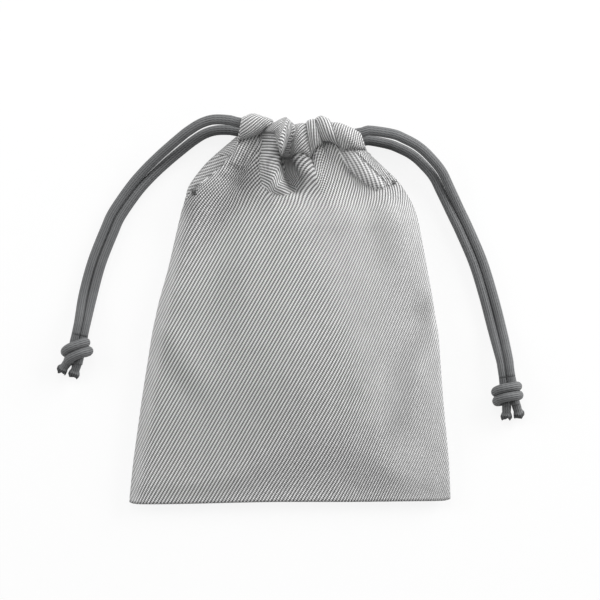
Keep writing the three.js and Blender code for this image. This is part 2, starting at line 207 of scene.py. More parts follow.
def turned_threads(u, v, turn, closer=1.0):
    """Places on the cloth, with the threads turned and drawn closer."""
    cosine, sine = np.cos(turn), np.sin(turn)
    return closer * np.stack([u * cosine + v * sine, v * cosine - u * sine], axis=-1)


def linear(hex_colour):
    """An sRGB hex colour as linear red, green, blue and alpha."""
    channels = [int(hex_colour[place:place + 2], 16) / 255 for place in (1, 3, 5)]
    return [c / 12.92 if c <= 0.04045 else ((c + 0.055) / 1.055) ** 2.4 for c in channels] + [1.0]


def node(tree, kind, sockets=None, output=0, **settings):
    """Add a node with its settings, link or set its sockets, and give one of its outputs."""
    made = tree.nodes.new(kind)
    for name, value in settings.items():
        setattr(made, name, value)
    for key, value in (sockets or {}).items():
        if isinstance(value, bpy.types.NodeSocket):
            tree.links.new(value, made.inputs[key])
        else:
            made.inputs[key].default_value = value
    return made.outputs[output] if made.outputs else None


def new_material(name):
    """An empty material and its node tree."""
    material = bpy.data.materials.new(name)
    material.use_nodes = True
    material.node_tree.nodes.clear()
    return material, material.node_tree


def add_object(name, data):
    """A new object in the scene."""
    made = bpy.data.objects.new(name, data)
    bpy.context.scene.collection.objects.link(made)
    return made


def mesh_object(name, points, faces, uv_layer=None, uvs=None):
    """A smooth-shaded object at the origin; uvs holds one pair for each corner of each face."""
    mesh = bpy.data.meshes.new(name)
    mesh.from_pydata([tuple(float(c) * MM for c in point) for point in points], [], faces)
    if uvs is not None:
        layer = mesh.uv_layers.new(name=uv_layer)
        layer.data.foreach_set("uv", np.asarray(uvs, dtype=np.float32).ravel() * MM)
    mesh.shade_smooth()
    return add_object(name, mesh)


def dress(piece, body, materials, nodes):
    """Give a piece its materials, attach it to its body, and hide the solids that it stands for."""
    for material in materials:
        piece.data.materials.append(material)
    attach(piece, body)
    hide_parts(*nodes)
    return piece


# Materials

TWILL_PITCH = 1.3
TWILL_ANGLE = math.radians(60)
FLOAT_PITCH = 0.76
FLOAT_LEAN = 0.2
FLOAT_HEIGHT = 0.48
RIB_REACH = 1.15
RIB_DEPTH = 0.42
TWILL_PATCH = 9.0
TWILL_UNEVEN = 0.1

# Below the neck the ribs fade towards both sides of each cloth, flatter in the bump and with less
# painted shade and highlight in the colour: which way across the cloth, from and to where, and how much
# of the ribs is lost.
RIB_FADE_SIDES = (((0.919, 0.394, 0.0), 41.0, 59.0, 0.5), ((-0.985, 0.172, 0.0), 61.0, 66.5, 0.6))
RIB_FADE_UP_TO = (122.0, 134.0)


def satin_twill():
    """Polyester twill: light ribs over dark grooves on the diagonal, with a soft satin sheen.

    Fine floats cross the ribs. The colour's light ribs and dark grooves are painted highlight and painted
    shade;
    ribs and floats fade towards both sides of the cloth, in the bump and in that painted shade and
    highlight.
    """
    material, tree = new_material("woven_polyester_twill")
    flat = node(tree, "ShaderNodeUVMap", uv_map="flat_cloth")
    across = node(tree, "ShaderNodeVectorMath", {
        0: flat, 1: (math.sin(TWILL_ANGLE), -math.cos(TWILL_ANGLE), 0.0),
    }, output="Value", operation="DOT_PRODUCT")
    along = node(tree, "ShaderNodeVectorMath", {
        0: flat, 1: (math.cos(TWILL_ANGLE), math.sin(TWILL_ANGLE), 0.0),
    }, output="Value", operation="DOT_PRODUCT")
    turns = node(tree, "ShaderNodeMath", {
        0: across, 1: 2 * math.pi / (TWILL_PITCH * MM),
    }, operation="MULTIPLY")
    ribs = node(tree, "ShaderNodeMath", {0: turns}, operation="SINE")
    floats = node(tree, "ShaderNodeMath", {
        0: along, 1: 2 * math.pi / (FLOAT_PITCH * MM),
    }, operation="MULTIPLY")
    stepped = node(tree, "ShaderNodeMath", {0: turns, 1: FLOAT_LEAN, 2: floats}, operation="MULTIPLY_ADD")
    beads = node(tree, "ShaderNodeMath", {0: stepped}, operation="SINE")
    woven = node(tree, "ShaderNodeMath", {0: beads, 1: FLOAT_HEIGHT, 2: ribs}, operation="MULTIPLY_ADD")
    # Where the ribs fade at the sides, their painted shade and highlight fade with them.
    rib_fades = []
    for way, start, end, lost in RIB_FADE_SIDES:
        place = node(tree, "ShaderNodeVectorMath", {
            0: flat, 1: way,
        }, output="Value", operation="DOT_PRODUCT")
        rib_fades.append(node(tree, "ShaderNodeMapRange", {
            "Value": place, "From Min": start * MM, "From Max": end * MM, "To Max": lost,
        }, interpolation_type="SMOOTHSTEP"))
    sides = node(tree, "ShaderNodeMath", {0: rib_fades[0], 1: rib_fades[1]}, operation="ADD")
    height_up = node(tree, "ShaderNodeSeparateXYZ", {"Vector": flat}, output="Y")
    below_neck = node(tree, "ShaderNodeMapRange", {
        "Value": height_up, "From Min": RIB_FADE_UP_TO[0] * MM, "From Max": RIB_FADE_UP_TO[1] * MM,
        "To Min": 1.0, "To Max": 0.0,
    }, interpolation_type="SMOOTHSTEP")
    rib_fade = node(tree, "ShaderNodeMath", {0: sides, 1: below_neck}, operation="MULTIPLY")
    relief = node(tree, "ShaderNodeMath", {0: 1.0, 1: rib_fade}, operation="SUBTRACT")
    standing = node(tree, "ShaderNodeMath", {0: woven, 1: relief}, operation="MULTIPLY")
    height = node(tree, "ShaderNodeMapRange", {
        "Value": standing, "From Min": -RIB_REACH, "From Max": RIB_REACH,
    })
    uneven = node(tree, "ShaderNodeTexNoise", {
        "Vector": flat, "Scale": 1 / (TWILL_PATCH * MM), "Detail": 3.0, "Roughness": 0.6,
    })
    tone = node(tree, "ShaderNodeMath", {0: uneven, 1: TWILL_UNEVEN, 2: height}, operation="MULTIPLY_ADD")
    # The tone follows the relief: painted shade in the grooves and a painted highlight on the ribs.
    ramp = node(tree, "ShaderNodeValToRGB", {"Fac": tone})
    stops = ramp.node.color_ramp.elements
    stops[0].position, stops[0].color = 0.22, linear("#606060")
    stops[1].position, stops[1].color = 0.88, linear("#e9e9e9")
    middle = stops.new(0.55)
    middle.color = linear("#b8b8b8")
    bump = node(tree, "ShaderNodeBump", {"Strength": 1.0, "Distance": RIB_DEPTH * MM, "Height": height})
    shader = node(tree, "ShaderNodeBsdfPrincipled", {
        "Base Color": ramp, "Roughness": 0.5, "IOR": 1.5, "Specular IOR Level": 0.35,
        "Sheen Weight": 0.25, "Sheen Roughness": 0.4, "Normal": bump,
    })
    node(tree, "ShaderNodeOutputMaterial", {"Surface": shader})
    return material


BRAID_RIBS = 14
BRAID_STEP = 1.6
BRAID_NICK = 0.5
BRAID_DEPTH = 0.15
BRAID_PATCH = 3.0
BRAID_UNEVEN = 0.35


def braided_cord(name, dark, light):
    """A braided nylon sheath: fine ribs along the cord, nicked where the yarns cross."""
    material, tree = new_material(name)
    flat = node(tree, "ShaderNodeUVMap", uv_map="cord_sheath")
    parts = node(tree, "ShaderNodeSeparateXYZ", {"Vector": flat}).node.outputs
    around = node(tree, "ShaderNodeMath", {
        0: parts["Y"], 1: BRAID_RIBS * 2 / (CORD * MM),
    }, operation="MULTIPLY")
    length = node(tree, "ShaderNodeMath", {
        0: parts["X"], 1: 2 * math.pi / (BRAID_STEP * MM),
    }, operation="MULTIPLY")
    leaning = node(tree, "ShaderNodeMath", {0: around, 1: length}, operation="ADD")
    ribs = node(tree, "ShaderNodeMath", {0: around}, operation="SINE")
    nicks = node(tree, "ShaderNodeMath", {0: leaning}, operation="SINE")
    crossed = node(tree, "ShaderNodeMath", {0: nicks, 1: BRAID_NICK, 2: ribs}, operation="MULTIPLY_ADD")
    height = node(tree, "ShaderNodeMapRange", {
        "Value": crossed, "From Min": -1 - BRAID_NICK, "From Max": 1 + BRAID_NICK,
    })
    uneven = node(tree, "ShaderNodeTexNoise", {
        "Vector": flat, "Scale": 1 / (BRAID_PATCH * MM), "Detail": 3.0,
    })
    tone = node(tree, "ShaderNodeMath", {0: uneven, 1: BRAID_UNEVEN, 2: height}, operation="MULTIPLY_ADD")
    # The tone follows the relief: painted shade between the ribs and in the nicks, a painted highlight on
    # the ribs.
    ramp = node(tree, "ShaderNodeValToRGB", {"Fac": tone})
    stops = ramp.node.color_ramp.elements
    stops[0].position, stops[0].color = 0.15, linear(dark)
    stops[1].position, stops[1].color = 0.9, linear(light)
    bump = node(tree, "ShaderNodeBump", {"Strength": 0.45, "Distance": BRAID_DEPTH * MM, "Height": height})
    shader = node(tree, "ShaderNodeBsdfPrincipled", {
        "Base Color": ramp, "Roughness": 0.65, "IOR": 1.53, "Specular IOR Level": 0.3,
        "Sheen Weight": 0.05, "Normal": bump,
    })
    node(tree, "ShaderNodeOutputMaterial", {"Surface": shader})
    return material


THREAD_TWIST = 3.0


def spun_thread(name, dark, light):
    """Polyester sewing thread: a soft twist, drawn coarser than the real one so that it shows."""
    material, tree = new_material(name)
    place = node(tree, "ShaderNodeTexCoord", output="Object")
    twist = node(tree, "ShaderNodeTexWave", {
        "Vector": place, "Scale": 1 / (THREAD_TWIST * MM),
    }, output="Fac")
    ramp = node(tree, "ShaderNodeValToRGB", {"Fac": twist})
    ramp.node.color_ramp.elements[0].color = linear(dark)
    ramp.node.color_ramp.elements[1].color = linear(light)
    shader = node(tree, "ShaderNodeBsdfPrincipled", {"Base Color": ramp, "Roughness": 0.6, "IOR": 1.5})
    node(tree, "ShaderNodeOutputMaterial", {"Surface": shader})
    return material


CARD_GRAIN = 2.0
CARD_WHITE = 0.86


def white_table():
    """Matt white card: shows white to the camera and keeps a faint shadow."""
    material, tree = new_material("matt_white_card")
    grain = node(tree, "ShaderNodeTexNoise", {"Scale": 1 / (CARD_GRAIN * MM)})
    ramp = node(tree, "ShaderNodeValToRGB", {"Fac": grain})
    ramp.node.color_ramp.elements[0].color = linear("#f4f4f4")
    ramp.node.color_ramp.elements[1].color = linear("#fafafa")
    card = node(tree, "ShaderNodeBsdfDiffuse", {"Color": ramp})
    white = node(tree, "ShaderNodeEmission", {"Color": linear("#ffffff"), "Strength": 1.0})
    seen = node(tree, "ShaderNodeLightPath", output="Is Camera Ray")
    share = node(tree, "ShaderNodeMath", {0: seen, 1: CARD_WHITE}, operation="MULTIPLY")
    surface = node(tree, "ShaderNodeMixShader", {"Fac": share, 1: card, 2: white})
    node(tree, "ShaderNodeOutputMaterial", {"Surface": surface})
    return material


TWILL = satin_twill()
BRAID = braided_cord("braided_nylon_cord", "#3a3b3c", "#747576")
MELTED = braided_cord("heat_cut_nylon_cord", "#1a1b1c", "#48494a")
THREAD = spun_thread("spun_polyester_thread", "#a8a8a8", "#dcdcdc")
# The bar tacks' dark thread is painted shade at the foot of each slit.
SHADE_DARK_THREAD = spun_thread("painted_shade_thread", "#3c3c3c", "#6a6a6a")


# The stage, first because the cords are measured against the camera's view

VIEW_WIDTH = 252.0
VIEW_MIDDLE = (4.2, 4.2)
CAMERA_HEIGHT = 1500.0
SENSOR_WIDTH = 36.0
TABLE_HALF = 1500.0
STUDIO_STRENGTH = 0.335

# Name, place, width and power of each light
SOFTBOXES = (
    ("left_softbox", (-780, 320, 450), 600, 3.8), ("right_softbox", (760, 640, 370), 600, 9.2),
    ("side_softbox", (980, 120, 340), 600, 3.5), ("top_softbox", (-100, 600, 900), 500, 2.9),
)


def add_light(name, place, size, power):
    """A square softbox that faces the middle of the table."""
    light = bpy.data.lights.new(name, "AREA")
    light.shape = "SQUARE"
    light.size = size * MM
    light.energy = power
    made = add_object(name, light)
    made.location = Vector(place) * MM
    made.rotation_euler = (-Vector(place)).to_track_quat("-Z", "Y").to_euler()


def set_stage():
    """The white table, the studio light and the camera straight above the pouch."""
    scene = bpy.context.scene
    scene.view_settings.view_transform = "Standard"
    corners = [(x * TABLE_HALF, y * TABLE_HALF, 0) for x, y in ((-1, -1), (1, -1), (1, 1), (-1, 1))]
    table = mesh_object("table", corners, [(0, 1, 2, 3)])
    table.data.materials.append(white_table())
    world = bpy.data.worlds.new("studio")
    world.use_nodes = True
    sky = world.node_tree.nodes["Background"].inputs
    sky["Color"].default_value = linear("#ffffff")
    sky["Strength"].default_value = STUDIO_STRENGTH
    scene.world = world
    for softbox in SOFTBOXES:
        add_light(*softbox)
    lens = bpy.data.cameras.new("camera")
    lens.sensor_width = SENSOR_WIDTH
    lens.lens = SENSOR_WIDTH * CAMERA_HEIGHT / VIEW_WIDTH
    camera = add_object("camera", lens)
    camera.location = Vector((*VIEW_MIDDLE, CAMERA_HEIGHT)) * MM
    scene.camera = camera


# Cords

ROUTE_STEPS = 24
STRAND_STEP = 1.2
LOOP_STEP = 1.5
KNOT_STEP = 0.8
CORD_SIDES = 20


def smooth_route(points, step):
    """Points a step apart on the smooth curve through the given points."""
    points = [Vector(point) for point in points]
    ends = [points[0] * 2 - points[1]] + points + [points[-1] * 2 - points[-2]]
    fine = []
    for index in range(1, len(ends) - 2):
        before, start, end, after = ends[index - 1:index + 3]
        first = (end - before) / 2
        last = (after - start) / 2
        for share in np.linspace(0, 1, ROUTE_STEPS, endpoint=False):
            cube, square = share ** 3, share ** 2
            fine.append(
                start * (2 * cube - 3 * square + 1) + first * (cube - 2 * square + share)
                + end * (3 * square - 2 * cube) + last * (cube - square)
            )
    fine.append(points[-1])
    fine = np.array(fine)
    runs = lengths_along(fine)
    places = np.linspace(0, runs[-1], max(2, round(runs[-1] / step)) + 1)
    return np.stack([np.interp(places, runs, fine[:, axis]) for axis in range(3)], axis=1)


def tube(path, radii, sides=CORD_SIDES):
    """Points, faces and length-and-girth map of a closed tube along path."""
    radii = np.broadcast_to(radii, len(path))
    tangents = np.gradient(path, axis=0)
    tangents /= np.linalg.norm(tangents, axis=1)[:, None]
    side = np.cross(tangents[0], (0.0, 0.0, 1.0))
    angles = 2 * math.pi * np.arange(sides) / sides
    rings = []
    for place, tangent, radius in zip(path, tangents, radii):
        side = side - tangent * np.dot(side, tangent)
        side /= np.linalg.norm(side)
        up = np.cross(side, tangent)
        rings.append(place + radius * (np.outer(np.cos(angles), side) + np.outer(np.sin(angles), up)))
    runs = lengths_along(path)
    girth = math.pi * CORD / sides
    faces, uvs = [], []
    for ring in range(len(path) - 1):
        for index in range(sides):
            a = ring * sides + index
            b = ring * sides + (index + 1) % sides
            faces.append((a, b, b + sides, a + sides))
            low, high = index * girth, (index + 1) * girth
            uvs += [(runs[ring], low), (runs[ring], high), (runs[ring + 1], high), (runs[ring + 1], low)]
    for ring, order in ((0, -1), (len(path) - 1, 1)):
        faces.append([ring * sides + index for index in range(sides)][::order])
        uvs += [(runs[ring], index * girth) for index in range(sides)]
    return np.concatenate(rings), faces, uvs


def cord_object(name, *tubes):
    """One object from tubes, smooth along the cord and flat at its cut ends."""
    points, faces, uvs = [], [], []
    for tube_points, tube_faces, tube_uvs in tubes:
        shift = len(points)
        points += list(tube_points)
        faces += [tuple(index + shift for index in face) for face in tube_faces]
        uvs += tube_uvs
    cord = mesh_object(name, points, faces, "cord_sheath", uvs)
    for face in cord.data.polygons:
        face.use_smooth = len(face.vertices) == 4
    return cord


def knot_axes(side):
    """A knot's middle, the way across it, and the way that the cord runs into it."""
    before, last = ROUTES[side][-2:]
    heading = Vector((*last, 0)) - Vector((*before, 0))
    heading.normalize()
    middle = Vector((*last, KNOT_HEIGHT)) + heading * (KNOT_HALF + SPLIT)
    across = Vector((0, 0, 1)).cross(heading)
    return middle, across, heading


def strand_path(side, layer):
    """One strand: straight through its casing, down to the table beside its twin, up into the knot."""
    lane_y, lane_z = CASINGS[layer]
    lane_y -= side * LANE
    above = 1 if layer == "front" else -1
    end = CASING_ENDS[side]
    inner, outer = EXIT_LIFT[layer]
    lead = ((LEAD, -LEAD_SAG), (LEAD / 2, -LEAD_SAG / 2), (0, inner), (-EXIT, outer))
    points = [(end - side * inside, lane_y + shift, lane_z) for inside, shift in lead]
    places = np.array(ROUTES[side])
    runs = abs(places[0, 0] - end) - EXIT + lengths_along(places)
    along = np.gradient(places, axis=0)
    along /= np.linalg.norm(along, axis=1)[:, None]
    for place, heading, run in zip(places, along, runs):
        landed = smooth(0, CORD_DROP, run)
        climb = smooth(runs[-1] - KNOT_RISE, runs[-1] - CORD, run)
        lying = mix(lane_z, CORD / 2 + TABLE_GAP, landed)
        height = mix(lying, KNOT_HEIGHT + STRAND_LIFT * above, climb)
        apart = -side * above * mix(mix(EXIT_LANE, SHOWN_LANE, landed), KNOT_LANE, climb)
        points.append((place[0] + heading[1] * apart, place[1] - heading[0] * apart, height))
    _, _, heading = knot_axes(side)
    points.insert(-1, tuple(Vector(points[-1]) - heading * CORD))
    return smooth_route(points, STRAND_STEP)


def strand_radii(path, reach, fuller=0.0):
    """The cord's radius along a path: fuller at first, and squeezed slimmer over its last reach."""
    runs = lengths_along(path)
    swollen = fuller * (1 - smooth(LEAD + EXIT_FULL_LENGTH, LEAD + CORD_DROP, runs))
    return CORD / 2 * (1 + swollen - KNOT_PRESS * smooth(runs[-1] - reach, runs[-1], runs))


LOOP_REACH = {-1: 17.0, 1: -6.0}
LOOP_DIP = {-1: 2.4, 1: 0.0}


def loop_path(side):
    """The hidden stretch through both casings, turning back short of the ends away from the knot."""
    start = CASING_ENDS[side] - side * (LEAD + SPLIT)
    front, back = [np.array([y - side * LANE - LOOP_DIP[side], z]) for y, z in CASINGS.values()]
    radius = np.linalg.norm(front - back) / 2
    turn = LOOP_REACH[side] + side * (radius + CORD / 2)
    points = [(x, *front) for x in (start, (start + turn) / 2, turn)]
    for share in (0.25, 0.5, 0.75):
        place = mix(front, back, (1 - math.cos(math.pi * share)) / 2)
        points.append((turn - side * radius * math.sin(math.pi * share), *place))
    points += [(x, *back) for x in (turn, (start + turn) / 2, start)]
    return smooth_route(points, LOOP_STEP)


# The turns of a knot in its own axes, in cord diameters: across, along towards the tails, up.
KNOT_TURN = [
    (0.0, -1.75, 0.0), (0.0, -1.2, -0.1), (0.0, 0.0, -0.4), (-0.55, 0.5, -0.7),
    (-1.1, 0.4, -0.35), (-1.12, 0.2, 0.35), (-0.6, 0.05, 0.83), (0.1, 0.0, 0.93),
    (0.75, 0.0, 0.75), (1.14, 0.05, 0.1), (0.85, 0.1, -0.6), (0.1, 0.15, -0.7),
    (-0.1, 0.5, -0.3), (0.0, 0.95, 0.0), (0.0, 1.2, 0.0), (0.0, 1.45, 0.0),
]
KNOT_FIRST_WRAP = 2
KNOT_LAST_WRAP = len(KNOT_TURN) - 4
KNOT_STRAND_GAP = 0.47
KNOT_LEAN = {-1: -0.55, 1: 0.0}
KNOT_SHIFT = {-1: 0.0, 1: 0.22}


def knot_tubes(side):
    """Both strands of a knot, side by side through one wrap round the cord."""
    middle, across, heading = knot_axes(side)
    lean = Matrix.Rotation(KNOT_LEAN[side], 3, "Z")
    tubes = []
    for order in (-1, 1):
        points = []
        for index, (wide, along, up) in enumerate(KNOT_TURN):
            wrapped = np.clip(min(index - KNOT_FIRST_WRAP, KNOT_LAST_WRAP - index) / 2, 0.0, 1.0)
            turned = lean @ Vector((wide - side * KNOT_SHIFT[side], along + order * KNOT_STRAND_GAP, 0))
            straight = Vector((order * KNOT_LANE / CORD, along, 0))
            place = straight.lerp(turned, wrapped)
            lift = Vector((0, 0, up + STRAND_LIFT / CORD * order * side * (1 - wrapped)))
            points.append(middle + (across * place.x + heading * place.y + lift) * CORD)
        path = smooth_route(points, KNOT_STEP)
        tubes.append(tube(path, strand_radii(path[::-1], CORD)[::-1]))
    return tubes


# Cut ends: the form gives the radius, in cord diameters, at each share of the length
TAIL = 4.8
TAIL_ROOT = 2.2
TAIL_SPREAD = 0.16
TAIL_LEAN = {-1: -0.28, 1: 0.0}
TAIL_TIP_HEIGHT = 0.65 * CORD
TAIL_FORM = np.array([(0, 0.48), (0.5, 0.48), (0.66, 0.45), (0.84, 0.58), (0.95, 0.62), (1.0, 0.5)])
TAIL_RINGS = 16
TAIL_SIDES = 24
FRAYED_FROM = 0.6
FRAYED_TUFTS = ((0.55, 3), (0.35, 7))
MELTED_FROM = 0.76


def tail_tube(side, layer):
    """A short cut end, fluffed out and then melted at its tip."""
    middle, across, heading = knot_axes(side)
    lean = side if layer == "front" else -side
    start = middle + across * lean * KNOT_LANE + heading * (KNOT_HALF - TAIL_ROOT)
    length = TAIL + TAIL_ROOT + SPLIT
    fall = -(KNOT_HEIGHT - TAIL_TIP_HEIGHT) / length
    spread = lean * TAIL_SPREAD
    out = across * math.sin(spread) + heading * math.cos(spread) + Vector((0, 0, fall))
    out.rotate(Matrix.Rotation(TAIL_LEAN[side], 3, "Z"))
    shares = np.linspace(0, 1, TAIL_RINGS)
    path = np.array([start + out * length * share for share in shares])
    radii = CORD * np.interp(shares, TAIL_FORM[:, 0], TAIL_FORM[:, 1])
    points, faces, uvs = tube(path, radii, TAIL_SIDES)
    ends = np.repeat(np.clip((shares - FRAYED_FROM) / (1 - FRAYED_FROM), 0, 1), TAIL_SIDES)
    turns = np.tile(np.arange(TAIL_SIDES) * 2 * math.pi / TAIL_SIDES, TAIL_RINGS)
    (long, few), (short, many) = FRAYED_TUFTS
    ragged = long * np.sin(few * turns + lean + side) + short * np.sin(many * turns + 2 * lean)
    points = points + np.outer(ends * ragged, np.array(out.normalized()))
    return points, faces, uvs


def make_cord(name, side):
    """One doubled cord: its knot, its two strands and cut ends, and its hidden stretch in the casings."""
    body = f"{name}_cord"
    knot = cord_object(f"{name}_overhand_knot", *knot_tubes(side))
    dress(knot, body, [BRAID], [f"{name}_knot"])
    for layer in CASINGS:
        tail = cord_object(f"{name}_{layer}_cut_end", tail_tube(side, layer))
        dress(tail, body, [BRAID, MELTED], [f"{name}_{layer}_tail"])
        for face in tail.data.polygons:
            face.material_index = int(face.index >= MELTED_FROM * len(tail.data.polygons))
        path = strand_path(side, layer)
        radii = strand_radii(path, KNOT_RISE, EXIT_FULLER)
        strand = cord_object(f"{name}_{layer}_drawcord", tube(path, radii))
        dress(strand, body, [BRAID], [f"{name}_cord_{layer}_strand"])
    loop = cord_object(f"{name}_hidden_drawcord", tube(loop_path(side), CORD / 2))
    dress(loop, "pouch", [BRAID], [f"{name}_cord_loop"])


# Cloth

COLUMNS = 181
BODY_ROWS = 171
ROWS_CLOSER = 0.35
CASING_ROWS = 25
CASING_GAP = 0.2
CASING_ROUND = 0.75
BOTTOM_LIFT, RIGHT_LIFT, CORNER_LIFT = 0.3, 0.4, 0.8
CORNER_SHARP = 40
LIFT_RUN = 22.0
FLAT = np.linspace(-FLAT_HALF_WIDTH, FLAT_HALF_WIDTH, COLUMNS)
FRONT_ORDER = ((0, 0), (0, 1), (1, 1), (1, 0))
BACK_ORDER = ((0, 0), (1, 0), (1, 1), (0, 1))


def body_rows():
    """Rows of the cloth from the bottom edge to the stitch line, closer together towards the neck."""
    share = np.linspace(0, 1, BODY_ROWS)
    return mix(BOTTOM_EDGE, STITCH_LINE, share * (1 + ROWS_CLOSER - ROWS_CLOSER * share))[:, None]


def side_line(y, sides, side, soft=SIDE_SOFT):
    """x along the left or right side of the pouch."""
    return eased(y, sides[:, 0], sides[:, SIDE_COLUMNS[side]], soft)


def bottom_shift(rows, across):
    """How the bottom edge rises a little to the right and at its rounded corners."""
    shift = BOTTOM_LIFT + smooth(-0.9, 0.0, across) + RIGHT_LIFT * smooth(0.3, 1.0, across)
    shift = shift + CORNER_LIFT * np.abs(across) ** CORNER_SHARP
    return shift * (1.0 - smooth(0.0, LIFT_RUN, rows - BOTTOM_EDGE))


def casing_rows(stitch, top, puff, middle, depth):
    """Rows over a casing: out from the stitches, over the fold, and back along the inner wall."""
    turns = np.concatenate([
        np.linspace(0, math.pi, CASING_ROWS)[1:],
        np.linspace(math.pi, 2 * math.pi - CASING_GAP, CASING_ROWS)[1:],
    ])[:, None]
    share = 0.5 - 0.5 * np.cos(turns)
    x = mix(stitch[0], top[0], share)
    y = mix(stitch[1], top[1], share)
    base = mix(stitch[2], middle, share)
    swell = np.abs(np.sin(turns)) ** CASING_ROUND
    rise = puff - mix(stitch[2], middle, 0.5)
    z = base + np.where(turns <= math.pi, rise, -depth) * swell
    return np.stack(np.broadcast_arrays(x, y, z), axis=2)


# Folds below the front's stitch line: the line that each follows on the lying pouch, its height or depth,
# and its width
ROLL_LINE = [
    (-8.3, 71.3), (-8.6, 63.6), (-8.6, 58.0), (-7.0, 53.6), (-4.0, 51.0), (-0.6, 50.2), (2.4, 51.2),
]
ROLL_HEIGHT, ROLL_WIDTH = 2.0, 2.9
ROLL_EDGE_LINE = [
    (-11.6, 70.0), (-12.4, 63.0), (-12.3, 57.0), (-11.4, 52.2), (-8.6, 49.2), (-5.0, 47.9), (-1.2, 47.9),
    (2.0, 49.2), (3.6, 51.0),
]
ROLL_EDGE_DEPTH, ROLL_EDGE_WIDTH = 1.2, 1.1
PIT_LINE = [(-1.4, 62.2), (0.0, 58.2), (1.7, 55.0), (2.4, 53.8)]
PIT_DEPTH, PIT_TOP_WIDTH, PIT_FOOT_WIDTH = 9.5, 3.2, 4.9
LEFT_VALLEY_LINE = [
    (-13.4, 66.0), (-14.6, 58.0), (-17.2, 51.5), (-21.0, 45.0), (-26.0, 38.5), (-31.5, 31.5),
    (-37.0, 23.5), (-43.0, 14.0), (-48.0, 5.0),
]
VALLEY_DEPTH, VALLEY_TOP_WIDTH, VALLEY_FOOT_WIDTH, VALLEY_LEFT_WIDTH = 7.5, 7.0, 16.0, 20.0
RIGHT_LIP_LINE = [
    (20.5, 65.8), (22.2, 62.5), (25.2, 58.3), (30.8, 53.2), (36.0, 50.3), (39.0, 51.3), (40.0, 54.0),
]
TONGUE_HEIGHT, TONGUE_EDGE_WIDTH, TONGUE_WIDTH = 2.4, 2.2, 9.0
TONGUE_DIP, TONGUE_DIP_WIDTH = 0.8, 3.0
RIGHT_CREASE_LINE = [(65.0, 6.0), (57.0, -11.0), (50.0, -24.0), (43.0, -41.0), (37.0, -57.0)]
RIGHT_DIP_LINE = [(32.0, 58.0), (36.0, 46.0), (40.0, 31.0), (42.0, 15.0), (41.0, 0.0)]
LEFT_CREASE_LINE = [(-61.0, -3.0), (-53.0, -15.0), (-46.0, -25.5), (-37.0, -37.0), (-31.0, -44.0)]
FRONT_CREASES = ((RIGHT_CREASE_LINE, 8.0, 8.0), (RIGHT_DIP_LINE, 2.2, 9.0), (LEFT_CREASE_LINE, 1.7, 7.0))

# Broad swells of the front: x, y, height and reach; and the height of the plane right of the valley
FRONT_SWELLS = (
    (6.0, -22.0, 3.4, 30.0), (50.0, 45.0, 2.0, 25.0), (-30.0, 52.0, 1.5, 9.0), (21.0, 45.0, 1.6, 10.0),
    (9.5, 56.0, 2.2, 5.0),
)
PLANE_HEIGHT = 2.8


def front_folds(x, y):
    """Height that the folds below the stitch line add to the front."""
    gap, _, along = near_line(x, y, ROLL_LINE)
    roll = ROLL_HEIGHT * np.exp(-(gap / ROLL_WIDTH) ** 2)
    roll = roll * smooth(0.0, 0.1, along) * (1 - smooth(0.75, 1.0, along))
    gap, _, along = near_line(x, y, ROLL_EDGE_LINE)
    edge = -ROLL_EDGE_DEPTH * np.exp(-(gap / ROLL_EDGE_WIDTH) ** 2) * (1 - smooth(0.5, 1.0, along))
    gap, _, along = near_line(x, y, PIT_LINE)
    pit = -PIT_DEPTH * np.exp(-(gap / mix(PIT_TOP_WIDTH, PIT_FOOT_WIDTH, along)) ** 4)
    gap, side, along = near_line(x, y, LEFT_VALLEY_LINE)
    width = mix(VALLEY_TOP_WIDTH, VALLEY_FOOT_WIDTH, smooth(0.0, 0.4, along))
    valley = -VALLEY_DEPTH * (1 - smooth(0.0, np.where(side > 0, width, VALLEY_LEFT_WIDTH), gap))
    valley = valley * smooth(0.0, 0.3, along) * (1 - smooth(0.45, 1.0, along))
    gap, side, along = near_line(x, y, RIGHT_LIP_LINE)
    tongue = TONGUE_HEIGHT * (1 - np.exp(-gap / TONGUE_EDGE_WIDTH)) * np.exp(-(gap / TONGUE_WIDTH) ** 2)
    beside = -TONGUE_DIP * np.exp(-(gap / TONGUE_DIP_WIDTH) ** 2)
    lip = np.where(side >= 0, tongue, beside) * smooth(0.0, 0.3, along)
    creases = 0
    for line, height, width in FRONT_CREASES:
        gap, side, along = near_line(x, y, line)
        fade = smooth(0.0, 0.2, along) * (1 - smooth(0.5, 0.95, along))
        creases = creases + height * fade * side * (gap / width) * np.exp(-(gap / width) ** 2)
    plane = PLANE_HEIGHT * smooth(-34.0, -18.0, x) * smooth(-26.0, 22.0, y) * (1 - smooth(34.0, 54.0, y))
    swells = 0
    for middle_x, middle_y, height, reach in FRONT_SWELLS:
        swells = swells + height * np.exp(-((x - middle_x) ** 2 + (y - middle_y) ** 2) / reach ** 2)
    return roll + edge + pit + valley + lip + creases + plane + swells


# The front's crown: its height, how fast its sides and its middle climb from the bottom seam, and the left
# side, which climbs along a slanting line to the shoulder
CROWN = 12.0
CROWN_ROUND, CROWN_BOXY, BOXY_SHARE = 0.6, 3, 0.7
FULLEST_ACROSS, FULLEST_WIDTH = 0.18, 0.42
BODY_RISE = 70.0
SIDE_RISE, MIDDLE_RISE = 9.0, 33.0
SIDE_RISE_SHARE, MIDDLE_RISE_SHARE = 0.25, 0.5
LEFT_EDGE_RISE = 9.5
LEFT_EDGE_FROM, LEFT_EDGE_TO = 36.0, 52.0
SHOULDER_X, SHOULDER_Y = -34.0, 34.0
SHOULDER_SLOPE = 1.1
SHOULDER_RUN = 8.0
SHOULDER_FULLER = 1.4


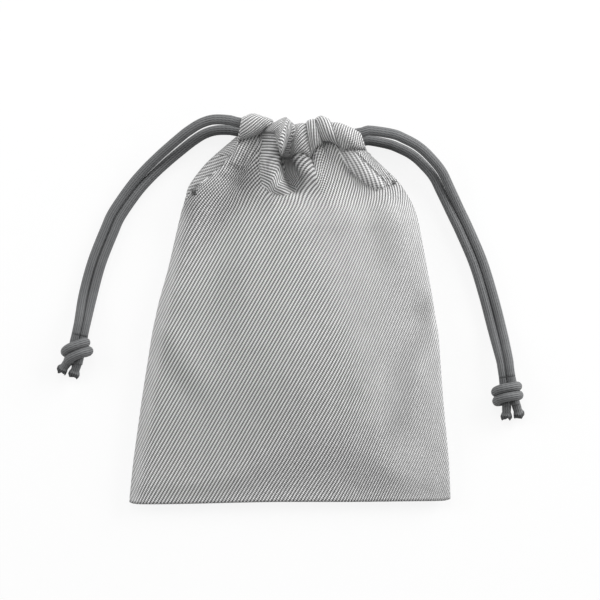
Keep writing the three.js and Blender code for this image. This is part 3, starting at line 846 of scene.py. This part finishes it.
def front_crown(x, y, rows, across):
    """The front's height without its folds."""
    round_form = np.clip(1 - across ** 2, 0, 1) ** CROWN_ROUND
    boxy_form = np.sqrt(np.clip(1 - np.abs(across) ** CROWN_BOXY, 0, 1))
    bulge = mix(round_form, boxy_form, BOXY_SHARE)
    risen = rows - BOTTOM_EDGE
    middle = np.exp(-((across - FULLEST_ACROSS) / FULLEST_WIDTH) ** 2)
    first_climb = smooth(0.0, mix(SIDE_RISE, MIDDLE_RISE, middle), risen)
    first_share = mix(SIDE_RISE_SHARE, MIDDLE_RISE_SHARE, middle)
    climb = mix(smooth(0.0, BODY_RISE, risen), first_climb, first_share)
    slant = (y - SHOULDER_Y) - SHOULDER_SLOPE * (x - SHOULDER_X)
    slant = slant / math.hypot(1, SHOULDER_SLOPE)
    slanting = SHOULDER_FULLER * smooth(-SHOULDER_RUN, SHOULDER_RUN, slant)
    at_edge = smooth(LEFT_EDGE_FROM, LEFT_EDGE_TO, rows)
    shoulder = mix(at_edge, slanting, smooth(-1.0, -0.75, across))
    left_rise = LEFT_EDGE_RISE * shoulder * (1 - smooth(-0.95, -0.4, across))
    edge = SEAM_HEIGHT + FABRIC / 2 + left_rise
    return edge + (CROWN - edge) * bulge * climb


# How soft the corners are between the marks of the gathers, from the folds up to the casing's fold
LOW_SOFT, STITCH_SOFT, STITCH_Y_SOFT, TOP_SOFT, TOP_Y_SOFT = 2.0, 0.8, 1.2, 0.8, 1.5
FLAT_ROW = 42.0
MIDDLE_ROW = 57.0
TUCK_SHARP = 1.3
LOWEST_FRONT = 3.6
LOWEST_SOFT = 0.5


def front_marks():
    """Marks along the front's stitch line: each tuck's foot, and each lobe's two edges and crest."""
    tucks = FRONT_TUCKS[:, :-1]
    marks = [tucks[0]]
    for before, lobe, after in zip(tucks, FRONT_LOBES, tucks[1:]):
        start, end, low_left, low_right, left, right, y, z = lobe[:8]
        top_left, top_right, top_y, puff, share = lobe[8:13]
        first = np.array([start, low_left, left, y, z, top_left, top_y, puff])
        last = np.array([end, low_right, right, y, z, top_right, top_y, puff])
        crest = mix(first, last, share)
        heights = [3, 4, 6, 7]
        first[heights] = mix(before, first, np.clip(1.1 * (1 - share), 0.1, 0.55))[heights]
        last[heights] = mix(after, last, np.clip(1.1 * share, 0.1, 0.55))[heights]
        marks += [first, crest, last, after]
    return np.array(marks)


def cloth_across(across):
    """Place on the front cloth for each place across it, longer at the sides, which fall away."""
    right = 0.3 * smooth(0.2, 0.5, across) + 0.5 * smooth(0.78, 1.0, across)
    left = 0.5 * smooth(0.84, 1.0, -across)
    places = np.cumsum(1 + right + left, axis=1) * (across[0, 1] - across[0, 0])
    return places - places[:, COLUMNS // 2]


def front_grid():
    """Rows of the front, x on the lying cloth below the neck, and the grid of its body and casing."""
    flat = FLAT[None, :]
    places, low_x, stitch_x, stitch_y, stitch_z, top_x, top_y, puff = front_marks().T
    rows = body_rows()
    across = flat / FLAT_HALF_WIDTH
    drawn = smooth(STITCH_LINE - FOLD_LENGTH, STITCH_LINE, rows)
    neck_y = eased(flat, places, stitch_y, STITCH_Y_SOFT)
    y = rows + (neck_y - STITCH_LINE) * drawn ** 2 + bottom_shift(rows, across)
    left = side_line(y[:, :1], FRONT_SIDES, -1)
    right = side_line(y[:, -1:], FRONT_SIDES, 1)
    halfway = share_of(eased(flat, places, low_x, LOW_SOFT))
    gathered = share_of(eased(flat, places, stitch_x, STITCH_SOFT))
    share = mix((across + 1) / 2, halfway, smooth(FLAT_ROW, MIDDLE_ROW, rows))
    x = mix(left, right, mix(share, gathered, smooth(MIDDLE_ROW, STITCH_LINE, rows)))
    reach = np.interp(flat, FRONT_TUCKS[:, 0], FRONT_TUCKS[:, -1])
    folded = smooth(STITCH_LINE - reach, STITCH_LINE, rows) ** TUCK_SHARP
    z = mix(front_crown(x, y, rows, across), puffed(flat, places, stitch_z), folded)
    z = z + front_folds(x, y) * smooth(0.0, 4.0, STITCH_LINE + 3.0 - y)
    above = z - LOWEST_FRONT
    z = LOWEST_FRONT + (above + np.sqrt(above ** 2 + LOWEST_SOFT ** 2)) / 2
    hemmed = 1 - smooth(HEM - HEM_EDGE, HEM + HEM_EDGE, right - x)
    z = z + HEM_THICKNESS * hemmed * smooth(SLIT_FOOT - 1, SLIT_FOOT + 1, y)
    body = np.stack(np.broadcast_arrays(x, y, z), axis=2)
    stitch = (x[-1:], y[-1:], z[-1:])
    top = (eased(flat, places, top_x, TOP_SOFT), eased(flat, places, top_y, TOP_Y_SOFT))
    casing = casing_rows(stitch, top, puffed(flat, places, puff), CASINGS["front"][1], CASING_DEPTH)
    lying = mix(left, right, (1 + cloth_across(across)) / 2)
    return rows, lying, np.concatenate([body, casing])


# How the threads run on the front: from the weave row up, they follow the folds instead of lying straight
WEAVE_ROW = 45.0
BESIDE_PIT_STRAIGHT = 0.8
SHOULDER_STRAIGHT = 0.9
SHOULDER_SHIFT = 6.0
ROLL_INNER_LINE = [(-4.0, 70.0), (-4.3, 63.5), (-3.6, 59.5), (-2.2, 55.8), (0.2, 52.9), (3.6, 51.0)]
ROLL_END = 3.0
ROLL_MIDDLE = -5.0
ROLL_FOOT, ROLL_TURNED = 48.0, 62.0
ROLL_FOOT_ANGLE = math.radians(-30)
ROLL_CLOSER = 1.27
TONGUE_FOOT = 49.0
TONGUE_ANGLE = math.radians(105)
TONGUE_BEND = 0.012
TONGUE_CLOSER = 0.88


def plain_weave(rows, lying, x):
    """Place on the cloth of the body: carried up the folds, straighter by the pit and the left slit."""
    start = np.searchsorted(rows[:, 0], WEAVE_ROW)
    across = mix(lying, lying[start], smooth(WEAVE_ROW - 5.0, WEAVE_ROW + 15.0, rows))
    beside_pit = smooth(0.0, 12.0, FLAT) * (1 - smooth(40.0, 50.0, FLAT)) * (rows > WEAVE_ROW)
    across = mix(across, lying[start] + x - x[start], BESIDE_PIT_STRAIGHT * beside_pit)
    at_shoulder = (1 - smooth(-44.0, -30.0, FLAT)) * smooth(40.0, 60.0, rows)
    across = mix(across, x - SHOULDER_SHIFT, SHOULDER_STRAIGHT * at_shoulder)
    return np.stack(np.broadcast_arrays(across, rows - BOTTOM_EDGE), axis=2)


def roll_weave(rows, x):
    """Place on the cloth of the roll, whose ribs lie across it and dip towards its foot."""
    angle = ROLL_FOOT_ANGLE * (1 - smooth(ROLL_FOOT, ROLL_TURNED, rows))
    steps = np.diff(rows, axis=0, prepend=BOTTOM_EDGE)
    climbed = np.cumsum(steps * np.cos(angle), axis=0) / math.cos(TWILL_ANGLE)
    dipping = (x - ROLL_MIDDLE) * np.sin(angle) / math.sin(TWILL_ANGLE)
    return ROLL_CLOSER * np.stack(np.broadcast_arrays(dipping, climbed), axis=2)


def tongue_weave(x, y):
    """Place on the cloth of the tongue by the right slit, whose ribs are turned and bend."""
    bent = x + TONGUE_BEND * (y - TONGUE_FOOT) ** 2
    return turned_threads(bent, y, TONGUE_ANGLE - TWILL_ANGLE, TONGUE_CLOSER)


def lobe_weave(casing):
    """Place on the cloth of the casing's face corners, with the ribs of each lobe turned as it says."""
    x, y, z = np.moveaxis(casing, 2, 0)
    girth = np.pad(np.cumsum(np.hypot(np.diff(x, axis=1), np.diff(z, axis=1)), axis=1), ((0, 0), (1, 0)))
    height = np.pad(np.cumsum(np.hypot(np.diff(y, axis=0), np.diff(z, axis=0)), axis=0), ((1, 0), (0, 0)))
    lobe = np.searchsorted(FRONT_TUCKS[1:-1, 0], (FLAT[1:] + FLAT[:-1]) / 2)
    crests = mix(FRONT_LOBES[:, 0], FRONT_LOBES[:, 1], FRONT_LOBES[:, -3])
    centre = np.searchsorted(FLAT, crests)[lobe]
    turn = (np.radians(FRONT_LOBES[:, -2]) - TWILL_ANGLE)[lobe]
    closer = FRONT_LOBES[lobe, -1][:, None]
    corners = []
    for r, c in FRONT_ORDER:
        lines = slice(r, len(casing) - 1 + r)
        columns = slice(c, COLUMNS - 1 + c)
        u = x[lines][:, centre] + girth[lines, columns] - girth[lines][:, centre]
        v = height[lines, columns] + y[0, columns] - y[0, centre]
        corners.append(turned_threads(u, v, turn, closer))
    return np.stack(corners, axis=2)


def front_weave(rows, lying, grid):
    """Each face corner's place on the cloth, with the threads of roll, tongue and lobes turned."""
    x, y, _ = np.moveaxis(grid[:len(rows)], 2, 0)
    weaves = (plain_weave(rows, lying, x), roll_weave(rows, x), tongue_weave(x, y))
    plain, rolled, tongue = [face_corners(weave, FRONT_ORDER) for weave in weaves]
    x, y, _ = np.moveaxis((grid[:len(rows) - 1, :-1] + grid[1:len(rows), 1:]) / 2, 2, 0)
    outside = near_line(x, y, ROLL_EDGE_LINE)[1] > 0
    inside = near_line(x, y, ROLL_INNER_LINE)[1] < 0
    on_roll = outside & inside & (x < ROLL_END)
    beyond_lip = near_line(x, y, RIGHT_LIP_LINE)[1] > 0
    on_tongue = beyond_lip & (x < side_line(y, FRONT_SIDES, 1) - HEM)
    body = np.where(on_tongue[:, :, None, None], tongue, plain)
    body = np.where(on_roll[:, :, None, None], rolled, body)
    return np.concatenate([body, lobe_weave(grid[len(rows) - 1:])])


# The back: its gathers, the curl at its seams, and its left shoulder, which rolls up into the slit
BACK_LOBES = 5
BACK_NECK, BACK_LOBE_DEPTH, BACK_LOBE_LIFT = 3.1, 2.2, 0.4
BACK_CURL, BACK_CURL_UP = 8.0, 1.2
BACK_CASING_DROP = 2.6
BACK_CASING_TOP, BACK_LOBE_TOP = 76.8, 0.3
BACK_CASING_FOLD = (-17.0, 24.0)
BACK_DRAWN = 1.6
THIN_END, THIN_END_SHARE = 6.0, 0.25
SHOULDER_ROUND, SHOULDER_END = 8.0, 14.0
SHOULDER_RISE = 6.5
SHOULDER_FROM, SHOULDER_TO = 46.0, 55.0
SHOULDER_TURN = math.radians(100)
SHOULDER_WIDTH = 22.0
SHOULDER_DROP = 4.0


def back_grid():
    """Rows of the back, and the grid of its body and casing."""
    across = FLAT[None, :] / FLAT_HALF_WIDTH
    even = (across + 1) / 2
    lobe = np.abs(np.sin(BACK_LOBES * math.pi * even))
    rows = body_rows()
    drawn = smooth(STITCH_LINE - FOLD_LENGTH, STITCH_LINE, rows)
    y = rows - BACK_CASING_DROP * drawn ** 2 + bottom_shift(rows, across)
    left = side_line(y[:, :1], BACK_SIDES, -1)
    right = side_line(y[:, -1:], BACK_SIDES, 1)
    x = mix(left, right, even)
    reach = np.minimum((1 - np.abs(across)) * (right - left) / 2, (rows - BOTTOM_EDGE) * BACK_CURL_UP)
    curl = np.clip(1 - reach / BACK_CURL, 0, 1) ** 2
    lying = FABRIC / 2 + (SEAM_HEIGHT - FABRIC) * curl
    z = mix(lying, BACK_NECK - BACK_LOBE_DEPTH * lobe, drawn ** BACK_DRAWN)
    gap = x - left
    rounded = np.sqrt(1 - (1 - np.clip(gap / SHOULDER_ROUND, 0, 1)) ** 2)
    shoulder = rounded * (1 - smooth(SHOULDER_ROUND, SHOULDER_END, gap))
    z = z + SHOULDER_RISE * shoulder * smooth(SHOULDER_FROM, SHOULDER_TO, rows)
    body = np.stack(np.broadcast_arrays(x, y, z), axis=2)
    stitch = (x[-1:], y[-1:], z[-1:])
    top = (mix(*BACK_CASING_FOLD, even), BACK_CASING_TOP + BACK_LOBE_TOP * lobe)
    swell = CASING_DEPTH * mix(THIN_END_SHARE, 1.0, smooth(THIN_END, SHOULDER_END, gap[-1:]))
    puff = FABRIC / 2 + BACK_LOBE_LIFT * (1 - lobe)
    casing = casing_rows(stitch, top, puff, CASINGS["back"][1], -swell)
    casing[:, :, 2] = np.maximum(casing[:, :, 2], FABRIC / 2)
    return rows, np.concatenate([body, casing])


def back_weave(rows, grid):
    """Each face corner's place on the cloth, seen from behind, with the left shoulder's threads turned."""
    steps = np.linalg.norm(np.diff(grid[len(rows) - 1:], axis=0), axis=2)
    along = np.broadcast_to(rows - BOTTOM_EDGE, (len(rows), COLUMNS))
    along = np.concatenate([along, along[-1] + np.cumsum(steps, axis=0)])
    corners = face_corners(np.stack([-grid[:, :, 0], along], axis=2), BACK_ORDER)
    lines = np.searchsorted(rows[:, 0], SLIT_FOOT - SHOULDER_DROP)
    columns = round(COLUMNS * SHOULDER_WIDTH / (2 * FLAT_HALF_WIDTH))
    u, v = np.moveaxis(corners[lines:, :columns].copy(), 3, 0)
    corners[lines:, :columns] = turned_threads(u, v, SHOULDER_TURN)
    return corners


def cloth_object(name, grid, weave, order, layers=1.0):
    """A sheet through grid, mapped by its place on the flat cloth, one or more layers thick."""
    height, width = grid.shape[:2]
    faces = face_corners(np.arange(height * width).reshape(height, width), order)
    cloth = mesh_object(name, grid.reshape(-1, 3), faces.reshape(-1, 4).tolist(), "flat_cloth", weave)
    thickness = cloth.modifiers.new("cloth_thickness", "SOLIDIFY")
    thickness.thickness = layers * FABRIC * MM
    thickness.offset = 0.0
    return cloth


SEAM_ALLOWANCE = 6.0
SEAM_COLUMNS = 9
SEAM_POINTS = 90
SEAM_LAYERS = 1.6
SEAM_INSET = 0.9
SEAM_SAG = 0.12
SEAM_SOFT = 3.0
TURNED_SEAM_HEIGHT = 3.4
SIDE_SEAM_FOOT = BOTTOM_EDGE + 8.0
BOTTOM_SEAM_HALF = 58.0
BOTTOM_SEAM_Y = BOTTOM_EDGE + 0.6


def turned_seam(name, x, y, inward):
    """Cloth turned in along a seam: x and y give the sewn edge, and inward the way into the pouch."""
    line = np.stack(np.broadcast_arrays(x, y, TURNED_SEAM_HEIGHT), axis=1)
    widths = np.linspace(0, SEAM_ALLOWANCE, SEAM_COLUMNS)
    inset = widths + SEAM_INSET
    grid = line[:, None] + np.stack([inward[0] * inset, inward[1] * inset, -SEAM_SAG * widths], axis=1)
    weave = np.stack(np.broadcast_arrays(widths[None, :], lengths_along(line)[:, None]), axis=2)
    weave = face_corners(weave, FRONT_ORDER)
    return cloth_object(f"{name}_turned_seam", grid, weave, FRONT_ORDER, SEAM_LAYERS)


def make_cloth():
    """Front and back cloth and the three turned seams; gives both grids to sew on."""
    rows, lying, front_places = front_grid()
    weave = front_weave(rows, lying, front_places)
    front = cloth_object("front_cloth", front_places, weave, FRONT_ORDER)
    dress(front, "pouch", [TWILL], ["front_panel", "front_casing"])
    rows, back_places = back_grid()
    back = cloth_object("back_cloth", back_places, back_weave(rows, back_places), BACK_ORDER)
    dress(back, "pouch", [TWILL], ["back_panel", "back_casing"])
    heights = np.linspace(SIDE_SEAM_FOOT, SLIT_FOOT, SEAM_POINTS)
    for name, side in (("left", -1), ("right", 1)):
        seam = turned_seam(name, side_line(heights, FRONT_SIDES, side, SEAM_SOFT), heights, (-side, 0))
        dress(seam, "pouch", [TWILL], [f"{name}_side_seam"])
    places = np.linspace(-BOTTOM_SEAM_HALF, BOTTOM_SEAM_HALF, SEAM_POINTS)
    seam = turned_seam("bottom", places, BOTTOM_SEAM_Y, (0, 1))
    dress(seam, "pouch", [TWILL], ["bottom_seam"])
    return front_places, back_places


# Stitching

THREAD_WIDTH = 0.42
STITCH_PITCH = 2.1
STITCH_LENGTH = 1.6
STITCH_ROW = BODY_ROWS - 4
STITCH_LIFT = FABRIC / 2 + 0.1
HEM_STITCH_ROWS = BODY_ROWS - 6
HEM_STITCH_IN = HEM - 0.7
HEM_STITCH_LIFT = FABRIC / 2 + 0.15
BAR_TACK = [(-0.8, -1.1), (0.8, -0.7), (-0.8, -0.3), (0.8, 0.1), (-0.8, 0.5), (0.8, 0.9)]
BAR_TACK_HEIGHT = {-1: 48.6, 1: 53.3}
BAR_TACK_IN = 1.4
BAR_TACK_LIFT = 0.2
BAR_TACK_PITCH = 0.5
BAR_TACK_LENGTH = 0.9
EDGE_COLUMNS = {-1: 0, 1: -1}


def stitch_tree():
    """Machine stitches: a short bar of thread at each step along a line."""
    tree = bpy.data.node_groups.new("machine_stitches", "GeometryNodeTree")
    inputs = (
        ("Line", "NodeSocketGeometry"), ("Pitch", "NodeSocketFloat"), ("Length", "NodeSocketFloat"),
        ("Width", "NodeSocketFloat"), ("Thread", "NodeSocketMaterial"),
    )
    names = {}
    for name, kind in inputs:
        names[name] = tree.interface.new_socket(name, in_out="INPUT", socket_type=kind).identifier
    tree.interface.new_socket("Stitches", in_out="OUTPUT", socket_type="NodeSocketGeometry")
    given = node(tree, "NodeGroupInput").node.outputs
    line = node(tree, "GeometryNodeMeshToCurve", {"Mesh": given["Line"]})
    steps = node(tree, "GeometryNodeResampleCurve", {
        "Curve": line, "Length": given["Pitch"],
    }, mode="LENGTH")
    bar = node(tree, "GeometryNodeMeshIcoSphere", {"Radius": 0.5, "Subdivisions": 2})
    tangent = node(tree, "GeometryNodeInputTangent")
    turned = node(tree, "FunctionNodeAlignRotationToVector", {"Vector": tangent}, axis="X")
    size = node(tree, "ShaderNodeCombineXYZ", {
        "X": given["Length"], "Y": given["Width"], "Z": given["Width"],
    })
    laid = node(tree, "GeometryNodeInstanceOnPoints", {
        "Points": steps, "Instance": bar, "Rotation": turned, "Scale": size,
    })
    real = node(tree, "GeometryNodeRealizeInstances", {"Geometry": laid})
    dyed = node(tree, "GeometryNodeSetMaterial", {"Geometry": real, "Material": given["Thread"]})
    node(tree, "NodeGroupOutput", {"Stitches": dyed})
    return tree, names


def sew(name, tree, names, lines, thread, pitch, length):
    """Rows of stitches along lines of points, as one plain mesh on the pouch."""
    points, edges = [], []
    for line in lines:
        edges += [(len(points) + step, len(points) + step + 1) for step in range(len(line) - 1)]
        points += [tuple(float(c) * MM for c in point) for point in line]
    mesh = bpy.data.meshes.new(name)
    mesh.from_pydata(points, edges, [])
    row = add_object(name, mesh)
    stitches = row.modifiers.new("stitches", "NODES")
    stitches.node_group = tree
    sizes = {"Pitch": pitch * MM, "Length": length * MM, "Width": THREAD_WIDTH * MM, "Thread": thread}
    for key, value in sizes.items():
        stitches[names[key]] = value
    sewn = bpy.data.meshes.new_from_object(row.evaluated_get(bpy.context.evaluated_depsgraph_get()))
    row.modifiers.remove(stitches)
    row.data = sewn
    sewn.shade_smooth()
    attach(row, "pouch")


def across_cloth(grid, outward):
    """The cloth's outer face along the casing's stitches; outward is 1 for the front and -1 for the back."""
    line = grid[STITCH_ROW]
    along = np.gradient(line, axis=0)
    upward = grid[STITCH_ROW + 1] - grid[STITCH_ROW - 1]
    normal = np.cross(along, upward)
    normal /= np.linalg.norm(normal, axis=1)[:, None]
    return line + outward * normal * STITCH_LIFT


def beside_slit(grid, outward, side):
    """The cloth's outer face along the hem of the left or right slit."""
    line = []
    for row in grid[:HEM_STITCH_ROWS]:
        order = np.argsort(row[:, 0])
        x = row[EDGE_COLUMNS[side], 0] - side * HEM_STITCH_IN
        y = np.interp(x, row[order, 0], row[order, 1])
        if y > SLIT_FOOT:
            z = np.interp(x, row[order, 0], row[order, 2])
            line.append((x, y, z + outward * HEM_STITCH_LIFT))
    return line


def bar_tack(grid, side):
    """A short bar of close stitches at the foot of a slit, lying on the cloth."""
    cloth = grid[:BODY_ROWS].reshape(-1, 3)
    edge = grid[:BODY_ROWS, EDGE_COLUMNS[side]]
    foot = edge[np.argmin(np.abs(edge[:, 1] - BAR_TACK_HEIGHT[side]))]
    line = []
    for wide, long in BAR_TACK:
        x = foot[0] - BAR_TACK_IN * side + wide
        y = foot[1] + long
        under = cloth[np.argmin(np.hypot(cloth[:, 0] - x, cloth[:, 1] - y))]
        line.append((x, y, under[2] + FABRIC / 2 + BAR_TACK_LIFT))
    return line


def make_stitching(front, back):
    """Stitches along both casings and the slits' hems, and a bar tack at the foot of each slit."""
    tree, names = stitch_tree()
    front_lines = [across_cloth(front, 1), beside_slit(front, 1, 1)]
    sew("front_casing_stitches", tree, names, front_lines, THREAD, STITCH_PITCH, STITCH_LENGTH)
    back_lines = [across_cloth(back, -1), beside_slit(back, -1, -1), beside_slit(back, -1, 1)]
    sew("back_casing_stitches", tree, names, back_lines, THREAD, STITCH_PITCH, STITCH_LENGTH)
    tacks = [bar_tack(front, -1), bar_tack(front, 1)]
    # The bar tacks are sewn in dark thread, painted shade at the foot of each slit.
    sew("slit_bar_tacks", tree, names, tacks, SHADE_DARK_THREAD, BAR_TACK_PITCH, BAR_TACK_LENGTH)


set_stage()
make_cord("left", -1)
make_cord("right", 1)
make_stitching(*make_cloth())
